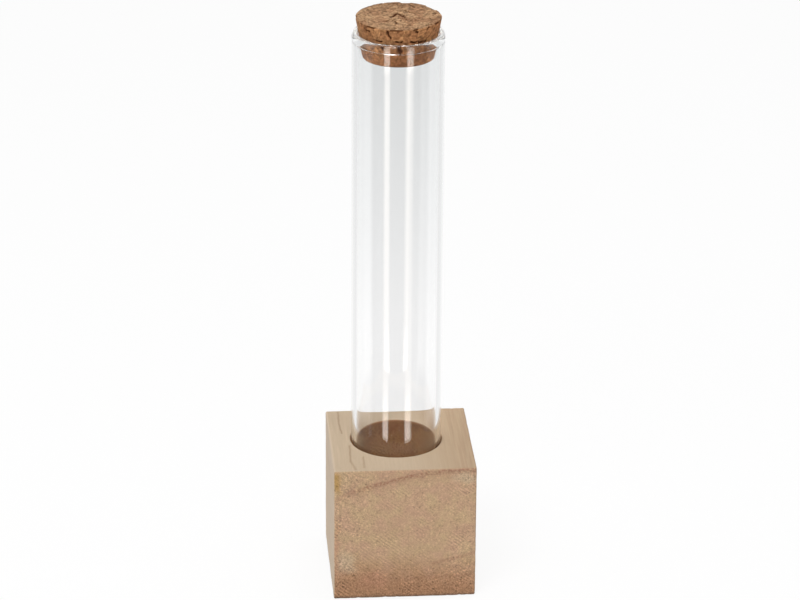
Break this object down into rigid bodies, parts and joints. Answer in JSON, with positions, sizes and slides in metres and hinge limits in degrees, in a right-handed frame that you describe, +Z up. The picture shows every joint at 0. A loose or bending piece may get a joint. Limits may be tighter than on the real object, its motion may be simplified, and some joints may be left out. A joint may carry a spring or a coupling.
{
  "type": "test tube vase",
  "caption": "Bud vase: a round-bottomed glass tube stands upright in a bored wooden cube, closed by a tapered cork. The tube lifts out and the cork pulls off.",
  "frame": {"origin": "middle of the block's underside, on the surface it stands on", "axes": "+Z up along the tube, -Y out of the front, which is the block's end grain, +X to the right seen from the front"},
  "size_m": [0.04, 0.04, 0.166],
  "materials": {
    "block_wood": "sawn and lightly sanded, unvarnished",
    "clear_glass": "clear, smooth, fire-polished lip",
    "cork": "natural cork, matte, with pores and small cracks"
  },
  "bodies": {
    "block": {"wooden_block": "block_wood"},
    "tube": {"glass_tube": "clear_glass"},
    "stopper": {"cork_stopper": "cork"}
  },
  "joints": [
    {"name": "tube_lift", "type": "slide", "parent": "block", "child": "tube", "axis": [0, 0, 1], "range_m": [0, 0.036]},
    {"name": "stopper_pull", "type": "slide", "parent": "tube", "child": "stopper", "axis": [0, 0, 1], "range_m": [0, 0.04]}
  ]
}
